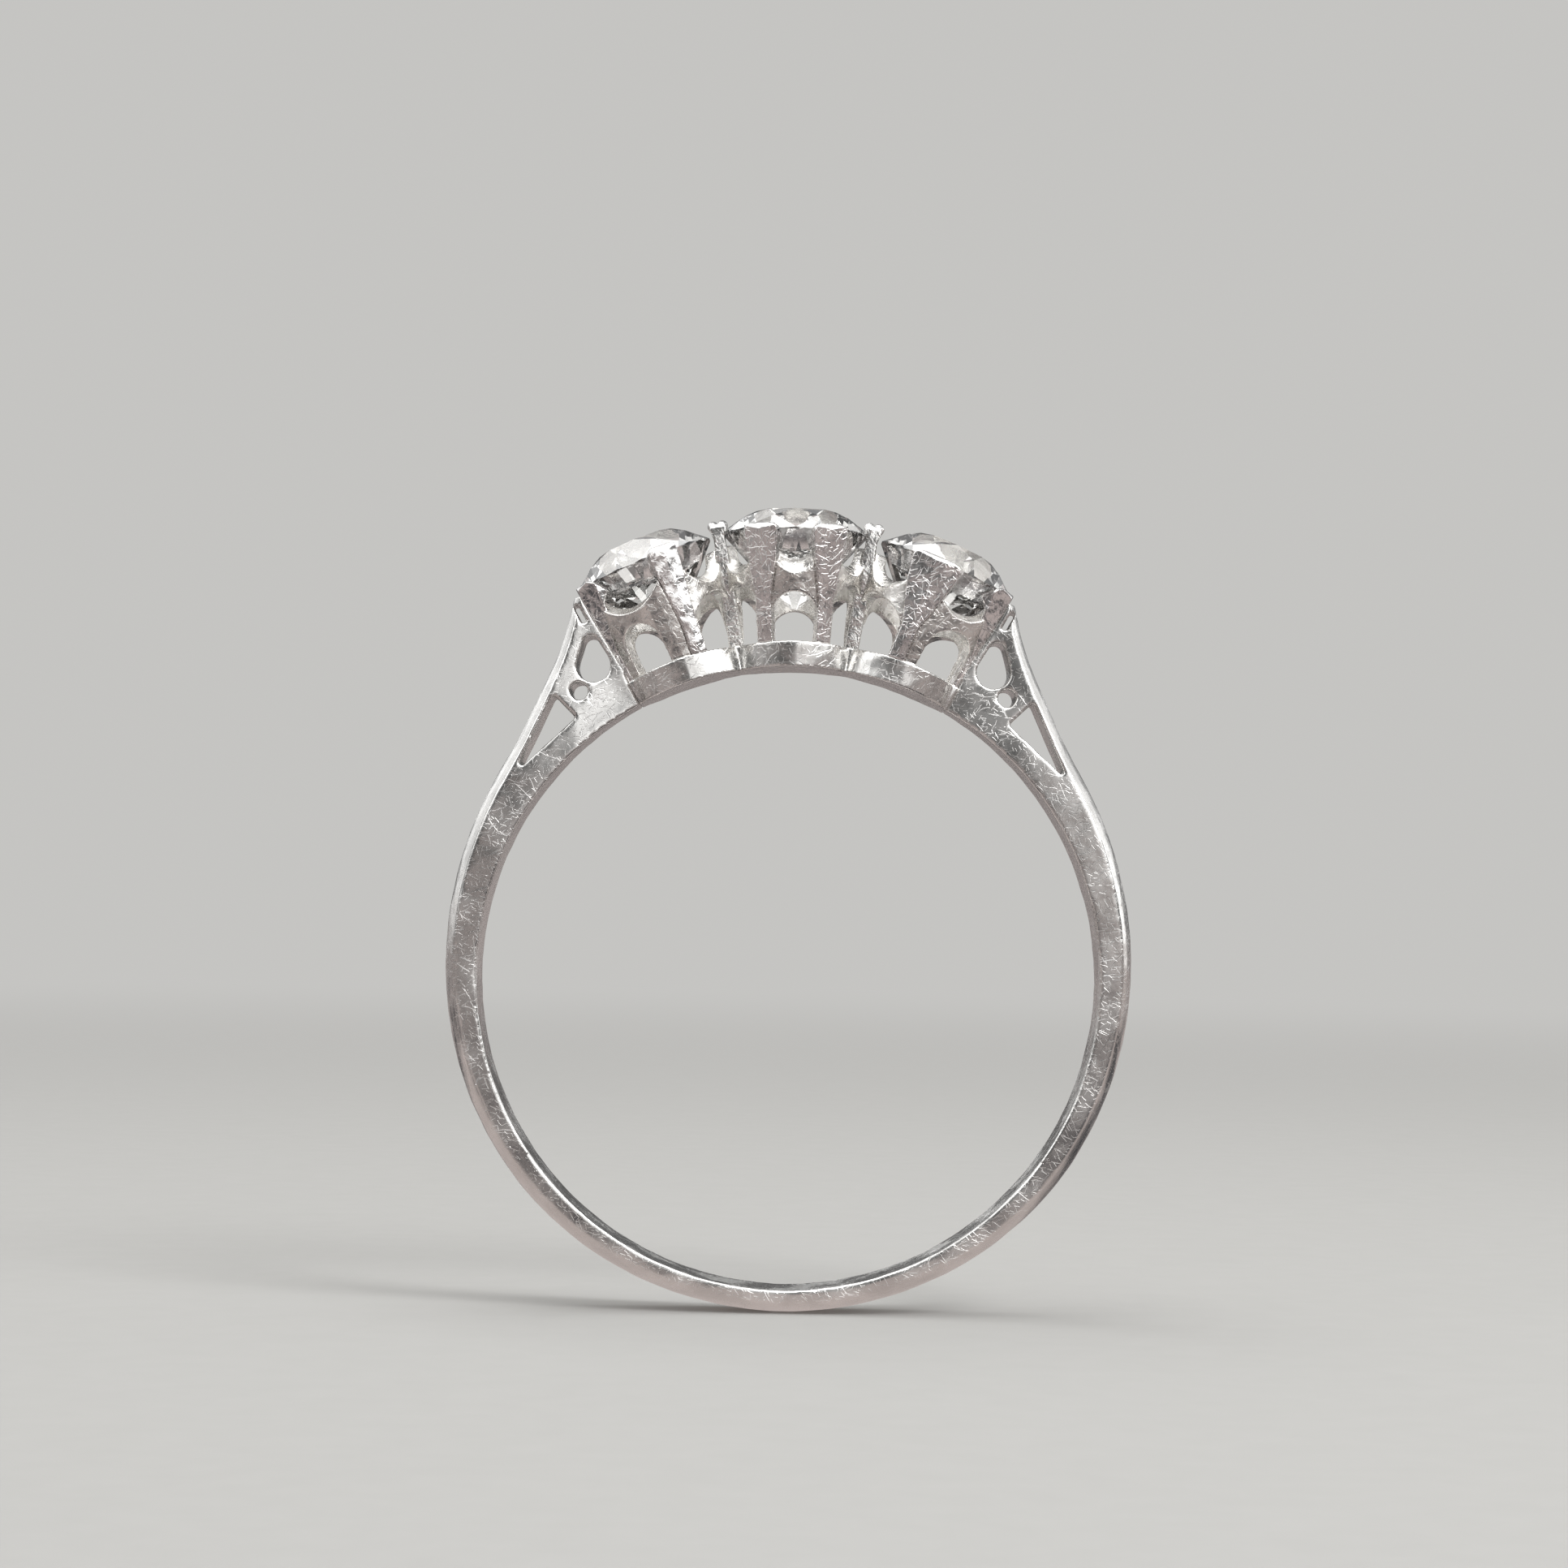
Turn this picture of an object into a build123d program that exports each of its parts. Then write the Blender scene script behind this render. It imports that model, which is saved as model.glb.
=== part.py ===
"""Three-stone engagement ring, as the pieces a goldsmith would put together.

Frame, in millimetres: the origin is the centre of the finger hole, Y runs along the hole, +Z points to
the stones and +X to the right when the ring is seen from its front (-Y).
Each setting is drawn upright, with its stone's axis on Z, and then tilted about Y to its place.
"""
import os
from math import atan2, cos, radians, sin, tan

from build123d import *

# ---- driving dimensions ---------------------------------------------------------------------------
BORE_R = 8.45  # finger hole
SHARED_ANGLE = 9.85  # degrees round the hoop from the top to a claw between two stones
SIDE_ANGLE = 20.2  # degrees round the hoop from the top to a side stone
GIRDLE_R = 12.14  # hoop centre to the middle of a stone's girdle
CENTRE_STONE_D = 3.98
SIDE_STONE_D = 3.85
SIDE_LEAN = 3.0  # degrees that a side setting leans outwards beyond its place round the hoop
SIDE_DROP = 0.10  # how much lower its stone's inner edge sits than the centre stone's girdle

# Old European cut, as fractions of the stone's diameter
TABLE = 0.545
CROWN = {"centre": 0.146, "side": 0.168}
PAVILION = 0.502
CULET = 0.055
GIRDLE = 0.022
STAR_LENGTH = 0.50  # how far a star facet reaches from the table to the girdle
LOWER_HALF_LENGTH = 0.55  # how far a lower half facet reaches from the girdle to the culet
SIDES = 8  # main facets round the stone

# Base rail
RAIL_R = 9.13
RAIL_SPREAD = 29.3  # degrees either side of the top
RAIL_LOBE_R = 1.78
RAIL_LOBE_ANGLE = 19.2  # degrees round the hoop from one lobe to the next
RAIL_VALLEY_WIDTH = 2.1

# Settings: heights are measured from the girdle, radii from the stone's axis
COLLET_TOP_R = 2.06
COLLET_FOOT_R = 1.68
COLLET_WALL = 0.36
COLLET_TOP = -0.35
# In each gap between claws: the scallop's lowest point on the wall's inside, how steeply it falls
# outwards in degrees, and the window's top; the windows in the back half are lower by BACK_DROP
GAPS = {"front": (-0.92, 54.0, -1.68), "shared": (-1.00, 42.0, -1.44), "open": (-1.08, 24.0, -1.50)}
BACK_DROP = {"front": 0.32, "shared": 0.29, "open": 0.06}
# Degrees that a side setting's front window stands off from its front claw and from its end claw
WINDOW_INSET = {"left": (20, 13), "right": (12, 2)}
WINDOW_EDGE = 0.17  # half a claw's foot, left standing beside each window
ARCH_ROUND = 0.55  # height of a window's rounded top
CLAW_COVER = 0.20  # how far a claw's face stands out from the stone's girdle
CLAW_FOOT_R = 1.78
CLAW_FOOT = RAIL_R - 0.3  # height of a claw's foot from the hoop's centre, before it is fitted to the rail
CLAW_THICKNESS = 0.28
CLAW_WIDTH = {"centre": 1.00, "side": 0.86, "wide": 1.40, "end": 1.30}
CLAW_FOOT_WIDTH = 0.44
# How far a claw's tip stands above the girdle, and the degrees that its face falls off either way
CLAW_TIP = {"centre": 0.15, "side": 0.19, "wide": 0.12, "end": 0.10}
CLAW_CREASE = {"centre": 8.0, "side": 8.0, "wide": 6.0, "end": 22.0}
CENTRE_CLAW_ANGLE = 27.0  # degrees from the front, either way
# A side setting's inner claws: degrees from the front towards the centre stone, and their kind
SIDE_CLAWS = {"left": (17.0, "side"), "right": (9.0, "wide")}
END_CLAW_ANGLE = 66.0  # degrees from the front, away from the centre stone
SHARED_TIP_R = 12.66
SEAT_OPEN = 1.0  # how far a claw's seat reaches out of the gallery wall

# Shank: angle from the top, outer radius, width along the finger
SHANK_STATIONS = (
    (24.0, 13.35, 1.64),
    (30.0, 12.02, 1.70),
    (33.0, 11.35, 1.78),
    (36.0, 10.90, 1.90),
    (41.0, 10.40, 2.10),
    (50.0, 9.84, 2.26),
    (60.0, 9.64, 2.30),
    (74.0, 9.48, 2.24),
    (90.0, 9.36, 2.12),
    (120.0, 9.25, 1.94),
    (150.0, 9.15, 1.84),
    (180.0, 9.10, 1.80),
)
SHANK_EDGE = 0.55  # share of the section's height that its flat edge takes on the hoop
SHOULDER_ROUNDING = 0.30  # height of the rounded top on the shoulders
SHOULDER_TOP_Z = 10.28

# Piercings in the right shoulder, seen from the front; the left one mirrors it
EYELET = (5.80, 7.71)
EYELET_R = 0.245
TRIANGLE = ((6.52, 7.62), (5.86, 6.99), (7.52, 5.44))
TRIANGLE_CORNER_R = 0.07
OPENING = ((5.43, 8.42, 0.46), (5.51, 9.00, 0.22))  # an egg round two circles: x, z, radius
SLIT = ((5.60, 9.56), (5.78, 9.56), (6.04, 10.04), (5.90, 10.08))

FAR = 4.0  # longer than any cut has to reach from an axis
THROUGH = 8.0  # longer than the ring is deep


# ---- helpers --------------------------------------------------------------------------------------
def tilt(angle):
    """Turn a setting drawn upright to its place round the hoop."""
    return Rot(0, angle, 0)


def side_place(side):
    """Place of a side setting: round the hoop, and leaning outwards about its stone's inner edge."""
    pivot = Pos(-side * SIDE_STONE_D / 2, 0, GIRDLE_R)
    lean = pivot * Rot(0, side * SIDE_LEAN, 0) * pivot.inverse()
    return tilt(side * SIDE_ANGLE) * Pos(0, 0, -SIDE_DROP) * lean


def facing(azimuth):
    """Plane that faces outwards from a stone's axis; azimuth 0 is the front, 90 the right."""
    a = radians(azimuth)
    return Plane(origin=(0, 0, 0), x_dir=(cos(a), sin(a), 0), z_dir=(sin(a), -cos(a), 0))


def along(azimuth):
    """Plane through a stone's axis, whose x runs outwards and whose y runs up."""
    a = radians(azimuth)
    return Plane(origin=(0, 0, 0), x_dir=(sin(a), -cos(a), 0), z_dir=(-cos(a), -sin(a), 0))


def outline(points, corner=0.0):
    """A closed face through points, with its corners rounded when a radius is given."""
    face = make_face(Polyline(*points, close=True))
    return fillet(face.vertices(), corner) if corner else face


def cone(r_low, z_low, r_high, z_high):
    """A solid cone on the stone's axis, between two heights."""
    face = make_face(Polyline((0, z_low), (r_low, z_low), (r_high, z_high), (0, z_high), close=True))
    return revolve(Plane.XZ * face, Axis.Z)


def one_piece(shape):
    """The solid a boolean leaves, without any sliver it cuts loose."""
    return max(shape.solids(), key=lambda solid: solid.volume)


def hoop_cylinder(radius):
    return Rot(90, 0, 0) * Cylinder(radius, THROUGH)


def front_cut(face):
    """A prism through the ring's whole depth, from a face drawn as seen from the front."""
    return extrude(Plane.XZ * face, THROUGH / 2, both=True)


def radius_at(height, top_r, foot_r):
    """Radius of a tapered wall that is top_r at the girdle and foot_r on the base rail."""
    return foot_r + (top_r - foot_r) * (height - RAIL_R) / (GIRDLE_R - RAIL_R)


# ---- stones ---------------------------------------------------------------------------------------
def polar(radius, azimuth, height):
    a = radians(azimuth)
    return Vector(radius * cos(a), radius * sin(a), height)


def keep_inside(solid, a, b, c):
    """Cut a facet through three points and keep the side with the stone's axis."""
    normal = (b - a).cross(c - a).normalized()
    if normal.dot(a) < 0:
        normal = -normal
    return split(solid, bisect_by=Plane(origin=a, z_dir=normal), keep=Keep.BOTTOM)


def cut_end(solid, radius, sign, edge, flat_r, depth, reach):
    """Cut the mains and the halves of one end of the stone.

    sign is 1 for the crown and -1 for the pavilion; edge is the girdle's half thickness. The result is
    the cut stone, and the radius and the height at which mains and halves meet."""
    step = 360 / SIDES
    slope = depth / (radius - flat_r)
    meet_r = flat_r + (radius - flat_r) * reach
    meet_z = edge + (radius - meet_r * cos(radians(step / 2))) * slope
    for k in range(SIDES):
        main, half = k * step, (k + 0.5) * step
        foot = polar(radius, main, sign * edge)
        crest = polar(flat_r, main, sign * (edge + depth))
        tangent = Vector(-sin(radians(main)), cos(radians(main)), 0)
        solid = keep_inside(solid, foot, foot + tangent, crest)
        meet = polar(meet_r, half, sign * meet_z)
        corner = polar(radius, half, sign * edge)
        for neighbour in (main, main + step):
            solid = keep_inside(solid, polar(radius, neighbour, sign * edge), corner, meet)
    return solid, meet_r, meet_z


def diamond(diameter, kind):
    """Old European cut: small table, high crown, deep pavilion with short halves and an open culet."""
    radius = diameter / 2
    edge = diameter * GIRDLE / 2
    table_r, culet_r = radius * TABLE, radius * CULET
    crown, pavilion = diameter * CROWN[kind], diameter * PAVILION
    height = crown + pavilion + 2 * edge
    solid = Pos(0, 0, (crown - pavilion) / 2) * Cylinder(radius, height)
    step = 360 / SIDES
    solid, star_r, star_z = cut_end(solid, radius, 1, edge, table_r, crown, STAR_LENGTH)
    for k in range(SIDES):
        corners = [polar(table_r, a * step, edge + crown) for a in (k, k + 1)]
        solid = keep_inside(solid, *corners, polar(star_r, (k + 0.5) * step, star_z))
    solid, _, _ = cut_end(solid, radius, -1, edge, culet_r, pavilion, 1 - LOWER_HALF_LENGTH)
    return one_piece(Pos(0, 0, GIRDLE_R) * solid)


# ---- claws ----------------------------------------------------------------------------------------
def claw_face_radii(diameter):
    """Radius of a claw's face at the girdle and at its foot."""
    top_r = diameter / 2 + CLAW_COVER
    return top_r, radius_at(CLAW_FOOT, top_r, CLAW_FOOT_R)


def claw_front(kind):
    """A claw seen face on: narrow on the rail, widest just below its tip, with a rounded end."""
    top, bottom, tip = CLAW_WIDTH[kind] / 2, CLAW_FOOT_WIDTH / 2, GIRDLE_R + CLAW_TIP[kind]
    right = (
        (bottom, CLAW_FOOT), (bottom, GIRDLE_R - 1.9), (0.84 * top, GIRDLE_R - 0.75), (top, GIRDLE_R - 0.1),
        (0.94 * top, tip - 0.10), (0.55 * top, tip + 0.01),
    )
    return outline(right + tuple((-x, z) for x, z in reversed(right)))


def claw_blank(azimuth, diameter, kind, proud=0.0):
    """A tapered strip that stands on the rail and folds over the stone's edge, with a flat face."""
    tip = GIRDLE_R + CLAW_TIP[kind]
    top_r, foot_r = claw_face_radii(diameter)
    side = Polyline(
        (top_r - 0.20 + proud, tip), (top_r - 0.40, tip), (top_r - 0.48, tip - 0.08),
        (top_r - 0.65, GIRDLE_R - 0.25), (top_r - 0.38, GIRDLE_R - 0.62),
        (foot_r - CLAW_THICKNESS, CLAW_FOOT), (foot_r + proud, CLAW_FOOT), (top_r + proud, GIRDLE_R - 0.04),
    )
    shoulder = ThreePointArc(side @ 1, (top_r - 0.05 + proud, tip - 0.08), side @ 0)
    strip = extrude(along(azimuth) * make_face([side, shoulder]), 1.0, both=True)
    return strip & extrude(facing(azimuth) * claw_front(kind), FAR)


def crease_roof(azimuth, fall, diameter):
    """A long prism with a low ridge, that gives a claw's face its crease."""
    top_r, foot_r = claw_face_radii(diameter)
    a, lean = radians(azimuth), atan2(top_r - foot_r, GIRDLE_R - CLAW_FOOT)
    up = (sin(lean) * sin(a), -sin(lean) * cos(a), cos(lean))
    origin = (foot_r * sin(a), -foot_r * cos(a), CLAW_FOOT)
    plane = Plane(origin=origin, x_dir=(cos(a), sin(a), 0), z_dir=up)
    reach = 1.0
    drop = reach * tan(radians(fall))
    roof = outline(((0, 0), (reach, drop), (reach, 2), (-reach, 2), (-reach, drop)))
    return extrude(plane * roof, THROUGH / 2, both=True)


def claw(azimuth, stone, rail, diameter, kind):
    """A finished claw, creased down its face, notched for the stone's edge and fitted to the rail."""
    strip = claw_blank(azimuth, diameter, kind) & crease_roof(azimuth, CLAW_CREASE[kind], diameter)
    return one_piece(strip - stone - rail)


def claw_seat(azimuth, diameter, kind):
    """What a claw takes out of the gallery wall: its blank, open to the outside."""
    return claw_blank(azimuth, diameter, kind, SEAT_OPEN)


def shared_claw(stones):
    """The claw between two stones: a flared column with a split tip, one bead over each stone."""
    low, tip = RAIL_R - 0.3, SHARED_TIP_R
    widths = ((low, 0.19), (11.3, 0.19), (12.15, 0.15), (12.38, 0.22), (tip - 0.12, 0.20))
    right = [(x, z) for z, x in widths]
    front = outline(right + [(-x, z) for x, z in reversed(right)])
    depths = ((low, 0.36), (10.3, 0.40), (11.2, 0.46), (tip - 0.20, 0.42), (tip - 0.08, 0.28))
    near = [(y, z) for z, y in depths]
    side = outline(near + [(-y, z) for y, z in reversed(near)])
    column = extrude(Plane.XZ * front, 1.0, both=True) & extrude(Plane.YZ * side, 1.0, both=True)
    for x in (-0.13, 0.13):
        column += Pos(x, 0, tip - 0.15) * scale(Sphere(0.15), by=(1.0, 2.4, 1.0))
    return one_piece(column - stones - hoop_cylinder(RAIL_R))


# ---- galleries ------------------------------------------------------------------------------------
def half_gap(start, end):
    """Half the distance between the feet of the claws at two angles, and the angle between them."""
    return COLLET_FOOT_R * sin(radians(abs(end - start) / 2)) - WINDOW_EDGE, (start + end) / 2


def arch_cut(start, end, top):
    """The window below, between two angles."""
    wide, middle = half_gap(start, end)
    foot, spring = RAIL_R - 0.5, GIRDLE_R + top - ARCH_ROUND
    arch = Pos(0, (foot + spring) / 2) * Rectangle(2 * wide, spring - foot)
    arch += Pos(0, spring) * Ellipse(wide, ARCH_ROUND)
    return extrude(facing(middle) * arch, FAR)


def scallop_cut(start, end, low, slope):
    """The filed hollow above, between two angles."""
    wide, middle = half_gap(start, end)
    radius = 1.5 * wide
    inside = facing(middle) * Pos(0, GIRDLE_R + low, COLLET_TOP_R - COLLET_WALL)
    return inside * Rot(slope, 0, 0) * Pos(0, radius, 0) * Cylinder(radius, FAR)


def gap_cuts(start, end, kind, inset=(0, 0)):
    """The window below and the scallop above, between the claws at two angles."""
    low, slope, arch_top = GAPS[kind]
    if cos(radians((start + end) / 2)) < 0:
        arch_top -= BACK_DROP[kind]
    turn = 1 if end > start else -1
    arch = arch_cut(start + turn * inset[0], end - turn * inset[1], arch_top)
    return arch, scallop_cut(start, end, low, slope)


def beyond(side, towards):
    """Everything on one side of the plane between the centre setting and the one on a side."""
    return tilt(side * SHARED_ANGLE) * Pos(towards * FAR, 0, GIRDLE_R) * Box(2 * FAR, 2 * FAR, 2 * FAR)


def collet(gaps, cutters):
    """Tapered gallery wall, pierced between the claws and cut away where other pieces stand."""
    low, high = RAIL_R - 0.4, GIRDLE_R + COLLET_TOP
    r_low = radius_at(low, COLLET_TOP_R, COLLET_FOOT_R)
    r_high = radius_at(high, COLLET_TOP_R, COLLET_FOOT_R)
    wall = cone(r_low, low, r_high, high) - cone(
        r_low - COLLET_WALL, low - 0.1, r_high - COLLET_WALL, high + 0.1
    )
    for gap in gaps:
        for cut in gap_cuts(*gap):
            wall -= cut
    for cutter in cutters:
        wall -= cutter
    return one_piece(wall)


# ---- base rail and shank --------------------------------------------------------------------------
def wedge(angle_from, angle_to):
    """The part of the ring between two angles from the top, as a thick slice."""
    reach = 20.0
    steps = [angle_from + (angle_to - angle_from) * k / 4 for k in range(5)]
    rim = [(reach * sin(radians(a)), reach * cos(radians(a))) for a in steps]
    return front_cut(outline([(0, 0)] + rim))


def base_rail():
    """Curved bearer with one lobe under each setting."""
    band = hoop_cylinder(RAIL_R) - hoop_cylinder(BORE_R)
    plan = Pos(0, 0, RAIL_R) * Box(20, RAIL_VALLEY_WIDTH, 8)
    for angle in (-RAIL_LOBE_ANGLE, 0, RAIL_LOBE_ANGLE):
        plan += tilt(angle) * (Pos(0, 0, RAIL_R) * Cylinder(RAIL_LOBE_R, 4))
    return one_piece(band & plan & wedge(-RAIL_SPREAD, RAIL_SPREAD))


def shank_section(angle, outer_r, width):
    """D-shaped section of the shank at an angle from the top; its flat side lies in the finger hole."""
    a = radians(angle)
    plane = Plane(origin=(0, 0, 0), x_dir=(0, 1, 0), z_dir=(cos(a), 0, -sin(a)))
    height = outer_r - BORE_R
    edge = BORE_R + max(SHANK_EDGE * height, height - SHOULDER_ROUNDING)
    low, half = BORE_R - 0.25, width / 2
    frame = Polyline((-half, edge), (-half, low), (half, low), (half, edge))
    crown = ThreePointArc((half, edge), (0, outer_r), (-half, edge))
    return plane * make_face([frame, crown])


def shoulder_cuts():
    """The opening beside the gallery, the slit above it, the round eyelet and the long triangle."""
    cuts = front_cut(outline(TRIANGLE, TRIANGLE_CORNER_R)) + front_cut(outline(SLIT))
    cuts += front_cut(Pos(*EYELET) * Circle(EYELET_R))
    circles = [(Pos(x, z) * Circle(r)).edge() for x, z, r in OPENING]
    return cuts + front_cut(make_hull(circles))


def shank(end_claws):
    """The hoop and its pierced shoulders, fitted against the end settings and the base rail."""
    right = list(SHANK_STATIONS)
    stations = right + [(360 - a, r, w) for a, r, w in reversed(right[:-1])]
    body = loft([shank_section(*station) for station in stations])
    body -= hoop_cylinder(BORE_R)
    body -= wedge(-RAIL_SPREAD, RAIL_SPREAD) & hoop_cylinder(RAIL_R + 0.25)
    body -= Pos(0, 0, SHOULDER_TOP_Z + FAR) * Box(30, THROUGH, 2 * FAR)
    low, high = RAIL_R - 2, GIRDLE_R + 2
    fit = cone(
        radius_at(low, COLLET_TOP_R, COLLET_FOOT_R), low, radius_at(high, COLLET_TOP_R, COLLET_FOOT_R), high
    )
    for side in (-1, 1):
        body -= side_place(side) * fit - hoop_cylinder(RAIL_R)
    cuts = shoulder_cuts()
    body -= cuts
    body -= cuts.mirror(Plane.YZ)
    for piece in end_claws:
        body -= piece
    return one_piece(body)


# ---- the ring -------------------------------------------------------------------------------------
def centre_setting(shared):
    """The centre stone with its four claws and its gallery, between the two shared claws."""
    stone, rail = diamond(CENTRE_STONE_D, "centre"), hoop_cylinder(RAIL_R)
    c = CENTRE_CLAW_ANGLE
    azimuths = {"front_right": c, "back_right": 180 - c, "back_left": 180 + c, "front_left": -c}
    parts = {"centre_diamond": stone}
    for name, azimuth in azimuths.items():
        parts[f"centre_claw_{name}"] = claw(azimuth, stone, rail, CENTRE_STONE_D, "centre")
    seats = [claw_seat(azimuth, CENTRE_STONE_D, "centre") for azimuth in azimuths.values()]
    gaps = [(-c, c, "front"), (c, 90, "shared"), (90, 180 - c, "shared")]
    gaps += [(start + 180, end + 180, kind) for start, end, kind in gaps]
    neighbours = [beyond(-1, -1), beyond(1, 1)] + shared
    parts["centre_collet"] = collet(gaps, seats + neighbours + [stone, rail])
    return parts


def side_setting(name, shared):
    """A side stone with its four claws and its gallery, all at their place round the hoop."""
    side = 1 if name == "right" else -1
    place = side_place(side)
    away = place.inverse()
    stone, rail = diamond(SIDE_STONE_D, "side"), away * hoop_cylinder(RAIL_R)
    e, (s, inner_kind) = END_CLAW_ANGLE, SIDE_CLAWS[name]
    claws = {
        "front": (-s, inner_kind), "end_front": (e, "end"),
        "end_back": (180 - e, "end"), "back": (180 + s, inner_kind),
    }
    parts = {f"{name}_diamond": place * stone}
    seats = []
    for position, (azimuth, kind) in claws.items():
        parts[f"{name}_claw_{position}"] = place * claw(side * azimuth, stone, rail, SIDE_STONE_D, kind)
        seats.append(claw_seat(side * azimuth, SIDE_STONE_D, kind))
    near_front, near_end = WINDOW_INSET[name]
    gaps = [(-s, e, "open", (near_front, near_end)), (e, 180 - e, "front")]
    gaps += [(180 - e, 180 + s, "open", (near_end, near_front))]
    gaps += [(180 + s, 270, "shared"), (270, 360 - s, "shared")]
    gaps = [(side * gap[0], side * gap[1], *gap[2:]) for gap in gaps]
    neighbours = [away * beyond(side, -side), away * shared]
    parts[f"{name}_collet"] = place * collet(gaps, seats + neighbours + [stone, rail])
    return parts


def build():
    """Every piece of the ring by name."""
    centre, end = diamond(CENTRE_STONE_D, "centre"), diamond(SIDE_STONE_D, "side")
    parts = {}
    for name, side in (("left", -1), ("right", 1)):
        place = tilt(side * SHARED_ANGLE)
        stones = place.inverse() * (centre + side_place(side) * end)
        parts[f"{name}_shared_claw"] = place * shared_claw(stones)
    parts |= centre_setting(list(parts.values()))
    for name in ("left", "right"):
        parts |= side_setting(name, parts[f"{name}_shared_claw"])
    parts["base_rail"] = base_rail()
    parts["shank"] = shank([piece for name, piece in parts.items() if "claw_end" in name])
    return parts


os.makedirs("parts", exist_ok=True)
for node, shape in build().items():
    shape.label = node
    export_step(shape, f"parts/{node}.step")
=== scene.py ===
"""Looks of the three-stone engagement ring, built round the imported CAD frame.

The CAD solids have sharp, perfect edges. Each metal piece here is the same solid with the soft edges,
slight unevenness and fine scratches of old hand-made platinum; the stones keep their exact facets.
"""
import math

import bmesh
import bpy
from mathutils import Matrix, Vector


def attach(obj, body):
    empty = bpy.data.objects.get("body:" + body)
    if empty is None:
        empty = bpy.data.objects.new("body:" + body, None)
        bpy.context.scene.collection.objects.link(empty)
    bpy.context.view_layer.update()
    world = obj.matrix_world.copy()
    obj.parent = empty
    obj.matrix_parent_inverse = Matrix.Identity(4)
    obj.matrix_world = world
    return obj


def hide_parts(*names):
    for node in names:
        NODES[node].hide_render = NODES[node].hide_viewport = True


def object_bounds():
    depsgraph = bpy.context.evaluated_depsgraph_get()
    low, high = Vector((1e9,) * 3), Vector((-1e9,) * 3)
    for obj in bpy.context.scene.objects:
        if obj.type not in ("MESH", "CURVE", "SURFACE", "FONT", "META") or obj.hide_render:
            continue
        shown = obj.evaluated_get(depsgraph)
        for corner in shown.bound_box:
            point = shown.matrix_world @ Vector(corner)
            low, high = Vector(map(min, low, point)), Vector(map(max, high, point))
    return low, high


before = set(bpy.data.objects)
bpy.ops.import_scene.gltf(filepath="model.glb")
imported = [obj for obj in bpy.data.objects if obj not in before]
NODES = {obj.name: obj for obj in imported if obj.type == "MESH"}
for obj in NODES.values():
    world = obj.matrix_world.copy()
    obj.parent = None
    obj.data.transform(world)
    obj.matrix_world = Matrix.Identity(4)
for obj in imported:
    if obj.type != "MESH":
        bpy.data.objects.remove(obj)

MM = 0.001
BODY = "root"
SCENE = bpy.context.scene
cad_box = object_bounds()

# How each kind of metal piece is worn: its voxels and dents in millimetres, and passes of smoothing.
WEAR = {
    "shank": {"voxel": 0.040, "passes": 9, "dent": 0.030, "dent_size": 0.9, "faces": 180000},
    "base_rail": {"voxel": 0.028, "passes": 8, "dent": 0.030, "dent_size": 0.6, "faces": 90000},
    "collet": {"voxel": 0.024, "passes": 8, "dent": 0.030, "dent_size": 0.45, "faces": 90000},
    "claw": {"voxel": 0.020, "passes": 8, "dent": 0.030, "dent_size": 0.35, "faces": 50000},
}
RUB = 0.5  # strength of one pass of smoothing
DENT_MIDDLE = 0.42  # the dent pattern's value that leaves the skin where it is
WELD = 1e-4  # millimetres within which the corners of the CAD mesh are joined
FLAT = 0.6  # degrees within which neighbouring triangles of a stone are one facet


# ---- node helpers ---------------------------------------------------------------------------------
class Tree:
    """A node tree that is written as a list of short calls.

    Inputs are given by their name, or as i0, i1 and so on where names repeat or don't exist."""

    def __init__(self, tree):
        self.tree = tree
        tree.nodes.clear()

    def node(self, kind, settings=None, **inputs):
        made = self.tree.nodes.new(kind)
        for key, value in (settings or {}).items():
            setattr(made, key, value)
        for name, value in inputs.items():
            self.plug(made, name, value)
        return made

    def plug(self, node, name, value):
        by_number = name[0] == "i" and name[1:].isdigit()
        socket = node.inputs[int(name[1:]) if by_number else name]
        if isinstance(value, bpy.types.NodeSocket):
            self.tree.links.new(value, socket)
        else:
            socket.default_value = value

    def math(self, operation, a, b=0.0, clamp=False):
        settings = {"operation": operation, "use_clamp": clamp}
        return self.node("ShaderNodeMath", settings, i0=a, i1=b).outputs[0]

    def vector(self, operation, a, b=(0, 0, 0)):
        made = self.node("ShaderNodeVectorMath", {"operation": operation}, i0=a, i1=b)
        return made.outputs["Value" if operation in ("DOT_PRODUCT", "LENGTH") else "Vector"]

    def scaled(self, vector, factor):
        made = self.node("ShaderNodeVectorMath", {"operation": "SCALE"}, Vector=vector, Scale=factor)
        return made.outputs["Vector"]

    def place(self):
        """Where a point lies on the ring, in millimetres."""
        return self.scaled(self.node("ShaderNodeTexCoord").outputs["Object"], 1 / MM)

    def ease(self, value, low, high, to_low=0.0, to_high=1.0):
        smooth = {"interpolation_type": "SMOOTHSTEP"}
        made = self.node("ShaderNodeMapRange", smooth, i0=value, i1=low, i2=high, i3=to_low, i4=to_high)
        return made.outputs[0]

    def noise(self, vector, scale, detail=2.0, rough=0.5):
        return self.node("ShaderNodeTexNoise", Vector=vector, Scale=scale, Detail=detail, Roughness=rough)

    def mix(self, factor, a, b):
        return self.node("ShaderNodeMix", {"data_type": "RGBA"}, i0=factor, i6=a, i7=b).outputs[2]


def material(name):
    made = bpy.data.materials.new(name)
    made.use_nodes = True
    return made, Tree(made.node_tree)


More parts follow.
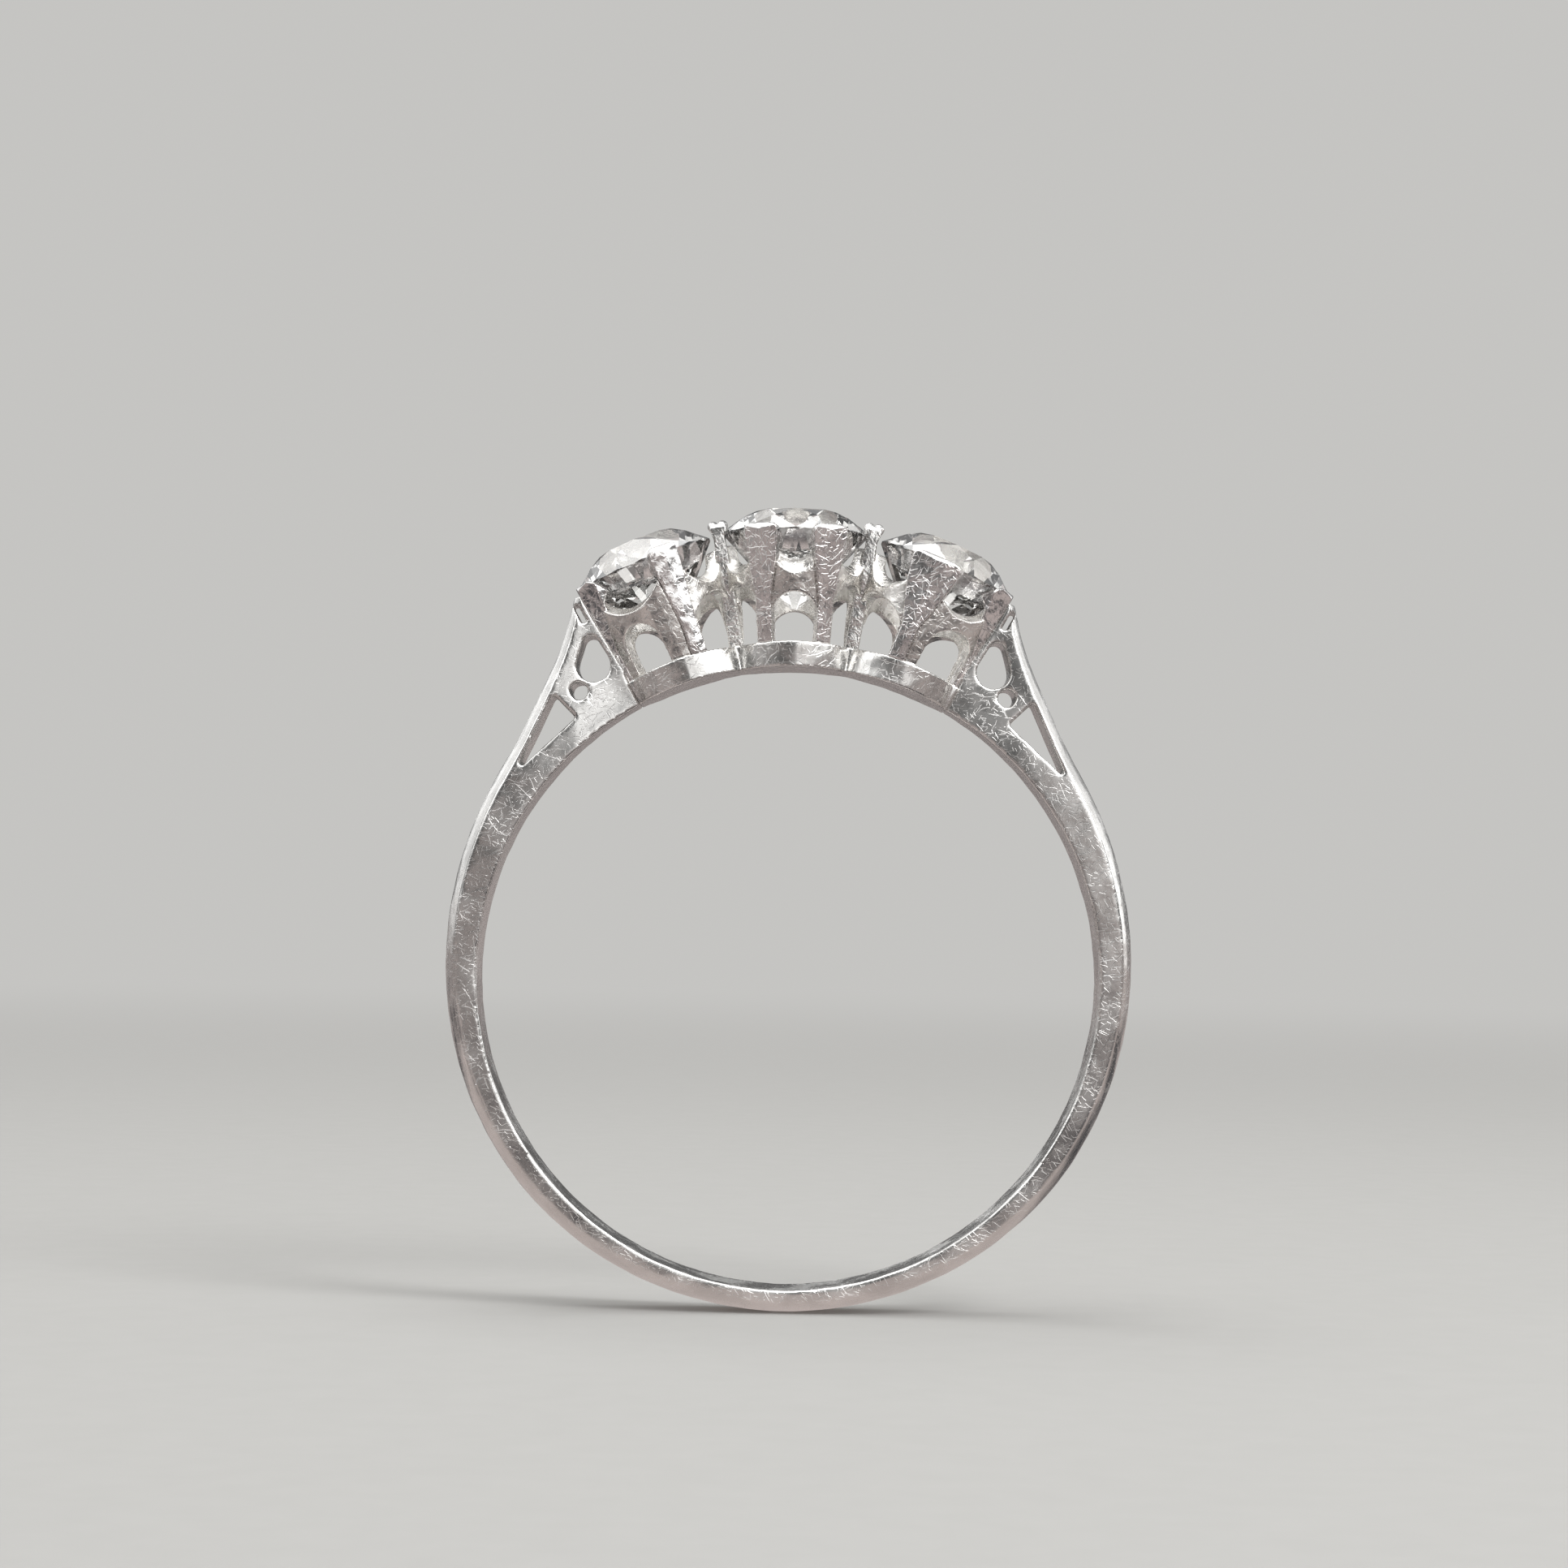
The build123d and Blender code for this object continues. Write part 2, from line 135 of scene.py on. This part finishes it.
# ---- platinum -------------------------------------------------------------------------------------
# Fine, middle and long scratches: how many to a millimetre, then half their width and length in millimetres
SCRATCHES = ((7.5, 0.008, 0.08), (4.6, 0.008, 0.13), (1.9, 0.010, 0.32))
SCRATCH_DEPTH = 0.0042  # millimetres
SCRATCH_SWAY = 0.35  # how far a scratch bends, as a share of the distance to the next one
SCRATCH_TONE = (0.97, 0.97, 0.96, 1)
GRAIN_DEPTH = 0.0006  # millimetres
PATTERN_STEP = (7.3, 3.1, 5.7)  # millimetres from one layer of scratches to the next, so that they differ


def scratches(t, place, layer, per_mm, width, length):
    """One short scratch in each cell of a random pattern, each with a direction of its own."""
    bent = t.vector("ADD", place, tuple(layer * step for step in PATTERN_STEP))
    sway = t.vector("SUBTRACT", t.noise(bent, per_mm * 0.8, 1.0).outputs["Color"], (0.5, 0.5, 0.5))
    bent = t.vector("ADD", bent, t.scaled(sway, SCRATCH_SWAY / per_mm))
    cell = t.node("ShaderNodeTexVoronoi", {"feature": "F1"}, Vector=bent, Scale=per_mm)
    local = t.vector("SUBTRACT", bent, cell.outputs["Position"])
    turn = t.scaled(cell.outputs["Color"], math.tau)
    turned = t.node("ShaderNodeVectorRotate", {"rotation_type": "EULER_XYZ"}, Vector=local, Rotation=turn)
    split = t.node("ShaderNodeSeparateXYZ", Vector=turned.outputs[0])
    line = t.ease(t.math("ABSOLUTE", split.outputs["Y"]), 0.0, width, 1.0, 0.0)
    ends = t.ease(t.math("ABSOLUTE", split.outputs["X"]), length * 0.6, length, 1.0, 0.0)
    return t.math("MULTIPLY", line, ends)


def platinum(name, tone, roughness, scratched, dents, filed=0.0):
    """Worn polished platinum: scratches of three sizes, soft dents, and a darker brownish tone in its
    hollows that is partly tarnish and partly painted shade.

    scratched is the scratches' strength. dents and filed are heights in millimetres: of the soft dents,
    and of the fine parallel marks that a file or graver leaves."""
    made, t = material(name)
    place = t.place()
    lines = 0.0
    for layer, sizes in enumerate(SCRATCHES, start=1):
        lines = t.math("MAXIMUM", lines, scratches(t, place, layer, *sizes))
    patches = t.ease(t.noise(place, 0.8, 3.0).outputs["Fac"], 0.36, 0.66)
    lines = t.math("MULTIPLY", lines, t.ease(patches, 0.0, 1.0, 0.45, 1.0))
    grain = t.noise(place, 26.0, 3.0, 0.7).outputs["Fac"]
    wave = t.noise(place, 2.4).outputs["Fac"]
    pointed = t.node("ShaderNodeNewGeometry").outputs["Pointiness"]
    hollow = t.ease(pointed, 0.40, 0.50, 1.0, 0.0)
    rubbed = t.ease(pointed, 0.52, 0.60)

    rough = t.ease(patches, 0.0, 1.0, roughness * 0.8, roughness * 1.25)
    rough = t.math("ADD", rough, t.math("MULTIPLY", lines, 0.22))
    rough = t.math("ADD", rough, t.math("MULTIPLY", grain, 0.05))
    rough = t.math("ADD", rough, t.math("MULTIPLY", hollow, 0.16))
    rough = t.math("SUBTRACT", rough, t.math("MULTIPLY", rubbed, 0.06), clamp=True)

    bright = tuple(min(1.0, c * 1.05) for c in tone) + (1,)
    dull = tuple(c * 0.86 for c in tone) + (1,)
    # Painted shade: the hollows are mixed towards a dark brownish tone, partly tarnish and partly the shade
    # that falls in them.
    tarnish_and_shade = (tone[0] * 0.56, tone[1] * 0.52, tone[2] * 0.46, 1)
    colour = t.mix(patches, dull, bright)
    colour = t.mix(t.math("MULTIPLY", hollow, 0.75), colour, tarnish_and_shade)
    colour = t.mix(t.math("MULTIPLY", lines, 0.6), colour, SCRATCH_TONE)

    height = t.math("MULTIPLY", lines, -SCRATCH_DEPTH * scratched)
    height = t.math("ADD", height, t.math("MULTIPLY", wave, dents))
    height = t.math("ADD", height, t.math("MULTIPLY", grain, GRAIN_DEPTH * scratched))
    if filed:
        marks = t.node(
            "ShaderNodeTexWave", {"bands_direction": "DIAGONAL"}, Vector=place, Scale=3.2, Distortion=9.0,
            Detail=2.0, **{"Detail Scale": 1.8},
        )
        height = t.math("ADD", height, t.math("MULTIPLY", marks.outputs["Fac"], filed))
    bump = t.node("ShaderNodeBump", Height=height, Strength=1.0, Distance=MM)
    metal = t.node(
        "ShaderNodeBsdfPrincipled", Roughness=rough, Metallic=1.0, Normal=bump.outputs[0],
        **{"Base Color": colour},
    )
    t.node("ShaderNodeOutputMaterial", Surface=metal.outputs[0])
    return made


# ---- diamond --------------------------------------------------------------------------------------
DIAMOND_IOR = 2.417


def diamond_material():
    """Clear diamond. Shadow and diffuse rays pass, so that light reaches the gallery under a stone."""
    made, t = material("old_cut_diamond")
    place = t.place()
    haze = t.noise(place, 1.3, 2.0).outputs["Fac"]
    tint = t.mix(haze, (0.985, 0.985, 0.965, 1), (1.0, 1.0, 1.0, 1))
    polish = t.ease(t.noise(place, 3.0, 2.0).outputs["Fac"], 0.35, 0.75, 0.0, 0.012)
    stone = t.node(
        "ShaderNodeBsdfPrincipled", Roughness=polish, IOR=DIAMOND_IOR,
        **{"Base Color": tint, "Transmission Weight": 1.0},
    )
    rays = t.node("ShaderNodeLightPath")
    passing = t.math("MAXIMUM", rays.outputs["Is Shadow Ray"], rays.outputs["Is Diffuse Ray"])
    clear = t.node("ShaderNodeBsdfTransparent", Color=(0.95, 0.95, 0.95, 1))
    both = t.node("ShaderNodeMixShader", i0=passing, i1=stone.outputs[0], i2=clear.outputs[0])
    t.node("ShaderNodeOutputMaterial", Surface=both.outputs[0])
    return made


# ---- pieces ---------------------------------------------------------------------------------------
def kind_of(node):
    return next((kind for kind in ("collet", "claw") if kind in node), node)


def welded_copy(node):
    """The CAD mesh of a node in millimetres, as one closed skin."""
    mesh = NODES[node].data.copy()
    mesh.transform(Matrix.Scale(1 / MM, 4))
    mesh.materials.clear()
    skin = bmesh.new()
    skin.from_mesh(mesh)
    bmesh.ops.remove_doubles(skin, verts=skin.verts, dist=WELD)
    skin.normal_update()
    skin.to_mesh(mesh)
    skin.free()
    return mesh


def bake_modifiers(piece):
    """Replace a piece's mesh with what its modifiers make of it."""
    shaped = bpy.data.meshes.new_from_object(piece.evaluated_get(bpy.context.evaluated_depsgraph_get()))
    piece.modifiers.clear()
    old, piece.data = piece.data, shaped
    bpy.data.meshes.remove(old)


def without_crumbs(mesh):
    """Keep only the piece's own skin; a knife edge sheds loose specks when its skin is evened out."""
    skin = bmesh.new()
    skin.from_mesh(mesh)
    for vert in skin.verts:
        vert.tag = False
    parts = []
    for start in skin.verts:
        if start.tag:
            continue
        start.tag = True
        part = [start]
        for vert in part:  # the list grows while it is walked
            for edge in vert.link_edges:
                other = edge.other_vert(vert)
                if not other.tag:
                    other.tag = True
                    part.append(other)
        parts.append(part)
    parts.sort(key=len)
    bmesh.ops.delete(skin, geom=[vert for part in parts[:-1] for vert in part], context="VERTS")
    skin.to_mesh(mesh)
    skin.free()


def add_piece(name, mesh, node, look):
    """Put a finished mesh in place of its CAD node."""
    mesh.transform(Matrix.Scale(MM, 4))
    mesh.materials.clear()
    mesh.materials.append(look)
    piece = bpy.data.objects.new(name, mesh)
    SCENE.collection.objects.link(piece)
    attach(piece, BODY)
    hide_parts(node)
    return piece


def worn_metal(node, look):
    """A metal piece with rubbed edges and a slightly uneven, hand-finished skin."""
    wear = WEAR[kind_of(node)]
    work = bpy.data.objects.new("work", welded_copy(node))
    SCENE.collection.objects.link(work)
    remesh = work.modifiers.new("even_skin", "REMESH")
    remesh.mode = "VOXEL"
    remesh.voxel_size = wear["voxel"] * 1
    rub = work.modifiers.new("rubbed_edges", "SMOOTH")
    rub.factor = RUB
    rub.iterations = wear["passes"]
    clouds = bpy.data.textures.new("hand_work", "CLOUDS")
    clouds.noise_scale = wear["dent_size"]
    clouds.noise_depth = 1
    dents = work.modifiers.new("hand_work", "DISPLACE")
    dents.texture = clouds
    dents.texture_coords = "GLOBAL"
    dents.strength = wear["dent"]
    dents.mid_level = DENT_MIDDLE
    bake_modifiers(work)
    triangles = 2 * len(work.data.polygons)
    if triangles > wear["faces"]:
        thin = work.modifiers.new("lighter", "DECIMATE")
        thin.ratio = wear["faces"] / triangles
        bake_modifiers(work)
    mesh = work.data.copy()
    bpy.data.objects.remove(work)
    without_crumbs(mesh)
    mesh.polygons.foreach_set("use_smooth", [True] * len(mesh.polygons))
    return add_piece(f"{node}_worn", mesh, node, look)


def facetted_stone(node, look):
    """A stone with its exact facets, each one flat face."""
    mesh = welded_copy(node)
    skin = bmesh.new()
    skin.from_mesh(mesh)
    bmesh.ops.dissolve_limit(skin, angle_limit=math.radians(FLAT), verts=skin.verts, edges=skin.edges)
    for face in skin.faces:
        face.smooth = False
    for edge in skin.edges:
        edge.smooth = False
    skin.to_mesh(mesh)
    skin.free()
    return add_piece(f"{node}_cut", mesh, node, look)


# ---- stage ----------------------------------------------------------------------------------------
PALE = (0.56, 0.555, 0.54, 1)  # the backdrop
WARM_WHITE = (1, 0.99, 0.97, 1)
CLEAR_FLOOR = 0.045  # metres from the ring at which the floor starts to fade into the backdrop
FADED_FLOOR = 0.27  # metres from the ring at which it has faded
FLOOR_SIZE = 1.5  # metres from its middle to an edge
SOFTBOXES = (  # direction, the degrees from it at which the light starts to fade and is gone, and strength
    ((0.75, -0.75, 0.75), 12, 30, 3.6),
    ((0.10, -0.15, 1.0), 16, 42, 2.6),
    ((-0.85, -0.35, 0.55), 8, 26, 1.9),
    ((0.34, -1.0, 0.10), 4, 18, 1.1),
    ((-0.30, -1.0, -0.22), 3, 15, 0.9),
    ((0.9, 0.6, 0.35), 8, 28, 1.8),
    ((-0.7, 0.8, 0.5), 8, 30, 1.6),
)


def softbox(t, look, towards, inner, outer, strength):
    """A soft round light in the studio: bright within inner degrees of a direction, gone at outer."""
    near = t.vector("DOT_PRODUCT", look, tuple(Vector(towards).normalized()))
    return t.ease(near, math.cos(math.radians(outer)), math.cos(math.radians(inner)), 0.0, strength)


def studio():
    """A plain pale backdrop to the eye; soft lamps with dark between them in whatever reflects."""
    world = bpy.data.worlds.new("studio")
    world.use_nodes = True
    SCENE.world = world
    t = Tree(world.node_tree)
    look = t.node("ShaderNodeTexCoord").outputs["Generated"]
    up = t.node("ShaderNodeSeparateXYZ", Vector=look).outputs["Z"]
    lamps = t.ease(up, -0.35, 0.95, 0.07, 0.62)
    for box in SOFTBOXES:
        lamps = t.math("ADD", lamps, softbox(t, look, *box))
    room = t.noise(look, 2.3, 1.0).outputs["Fac"]
    lamps = t.math("MULTIPLY", lamps, t.ease(room, 0.42, 0.58, 0.45, 1.15))
    warm = t.mix(t.ease(up, -0.5, 0.15, 1.0, 0.0), (1, 1, 1, 1), (1.0, 0.78, 0.68, 1))
    glints = t.ease(t.noise(look, 6.5, 1.0).outputs["Fac"], 0.44, 0.56, 0.12, 0.85)
    softer = t.math("ADD", t.math("MULTIPLY", lamps, 0.50), glints)
    shown = t.node("ShaderNodeBackground", Color=warm, Strength=lamps)
    through = t.node("ShaderNodeBackground", Color=WARM_WHITE, Strength=softer)
    seen = t.node("ShaderNodeBackground", Color=PALE, Strength=1.0)
    fill = t.node("ShaderNodeBackground", Color=WARM_WHITE, Strength=0.75)
    rays = t.node("ShaderNodeLightPath")
    for ray, light in (("Is Transmission Ray", through), ("Is Camera Ray", seen), ("Is Diffuse Ray", fill)):
        which = rays.outputs[ray]
        shown = t.node("ShaderNodeMixShader", i0=which, i1=shown.outputs[0], i2=light.outputs[0])
    t.node("ShaderNodeOutputWorld", Surface=shown.outputs[0])


def floor(height):
    """A plain pale floor that takes the ring's soft shadow and fades into the backdrop. To reflected and
    refracted rays it glows instead, in dark and pinkish patches of painted reflection.
    """
    mesh = bpy.data.meshes.new("floor")
    corners = [(x * FLOOR_SIZE, y * FLOOR_SIZE, height) for x, y in ((-1, -1), (1, -1), (1, 1), (-1, 1))]
    mesh.from_pydata(corners, [], [(0, 1, 2, 3)])
    made, t = material("pale_floor")
    where = t.node("ShaderNodeTexCoord").outputs["Object"]
    speck = t.noise(where, 900.0, 3.0).outputs["Fac"]
    colour = t.mix(speck, (0.385, 0.382, 0.372, 1), (0.405, 0.402, 0.392, 1))
    paper = t.node("ShaderNodeBsdfDiffuse", Color=colour)
    sky = t.node("ShaderNodeEmission", Color=PALE, Strength=1.0)
    far = t.ease(t.vector("LENGTH", where), CLEAR_FLOOR, FADED_FLOOR)
    eye = t.node("ShaderNodeMixShader", i0=far, i1=paper.outputs[0], i2=sky.outputs[0])
    # Painted reflection: the metal and stones see the floor as a glow of dark and pinkish patches, not as
    # the lit floor.
    patch = t.noise(where, 38.0, 2.0).outputs["Fac"]
    tone = t.mix(t.ease(patch, 0.38, 0.58), (0.07, 0.07, 0.075, 1), (0.56, 0.49, 0.47, 1))
    painted_reflection_glow = t.node("ShaderNodeEmission", Color=tone, Strength=1.0)
    rays = t.node("ShaderNodeLightPath")
    mirrored = t.math("MAXIMUM", rays.outputs["Is Glossy Ray"], rays.outputs["Is Transmission Ray"])
    both = t.node("ShaderNodeMixShader", i0=mirrored, i1=eye.outputs[0], i2=painted_reflection_glow.outputs[0])
    t.node("ShaderNodeOutputMaterial", Surface=both.outputs[0])
    mesh.materials.append(made)
    plane = bpy.data.objects.new("floor", mesh)
    SCENE.collection.objects.link(plane)


def lamp(name, place, size, watts):
    """A soft square lamp aimed at the ring; the stones don't show it, as it would burn out their facets."""
    data = bpy.data.lights.new(name, "AREA")
    data.size = size
    data.energy = watts
    made = bpy.data.objects.new(name, data)
    made.location = place
    made.rotation_euler = (-Vector(place)).to_track_quat("-Z", "Y").to_euler()
    made.visible_transmission = False
    SCENE.collection.objects.link(made)


CAMERA_DISTANCE = 0.100
CAMERA_HEIGHT = 0.00294
CAMERA_ROLL = -1.0  # degrees
PICTURE_WIDTH = 0.0429  # what the picture spans at the hoop
PICTURE_SHIFT = (-0.0026, 0.0554)  # shares of the picture, across and up


def camera():
    """Level view along the finger hole, slightly above the hoop's centre, rolled by one degree."""
    data = bpy.data.cameras.new("camera")
    data.sensor_width = 36.0
    data.lens = data.sensor_width * CAMERA_DISTANCE / PICTURE_WIDTH
    data.shift_x, data.shift_y = PICTURE_SHIFT
    data.clip_start = 0.005
    data.clip_end = 10.0
    made = bpy.data.objects.new("camera", data)
    roll = Matrix.Rotation(math.radians(CAMERA_ROLL), 4, "Y")
    place = Matrix.Translation((0, -CAMERA_DISTANCE, CAMERA_HEIGHT))
    made.matrix_world = roll @ place @ Matrix.Rotation(math.pi / 2, 4, "X")
    SCENE.collection.objects.link(made)
    SCENE.camera = made


# ---- the scene ------------------------------------------------------------------------------------
# Platinum: name, tone, roughness, scratched, dents, filed
polished = platinum("platinum_shank", (0.80, 0.79, 0.77), 0.21, 0.7, 0.007)
claws = platinum("platinum_claws", (0.86, 0.84, 0.83), 0.17, 1.25, 0.015, 0.0010)
gallery = platinum("platinum_gallery", (0.82, 0.80, 0.77), 0.24, 1.0, 0.015, 0.0012)
graved = platinum("platinum_graved", (0.88, 0.87, 0.85), 0.17, 1.1, 0.014, 0.0028)
stone = diamond_material()

for node in sorted(NODES):
    if "diamond" in node:
        facetted_stone(node, stone)
    elif "shared_claw" in node:
        worn_metal(node, graved)
    elif "claw" in node:
        worn_metal(node, claws)
    elif "collet" in node:
        worn_metal(node, gallery)
    else:
        worn_metal(node, polished)

studio()
floor(cad_box[0].z)
lamp("key", (0.10, -0.10, 0.14), 0.07, 0.16)
lamp("top", (-0.03, 0.02, 0.16), 0.12, 0.10)
camera()

cycles = SCENE.cycles
cycles.max_bounces = 20
cycles.transmission_bounces = 16
cycles.glossy_bounces = 5
cycles.transparent_max_bounces = 12
cycles.sample_clamp_indirect = 6.0
cycles.use_denoising = True
SCENE.view_settings.view_transform = "Standard"
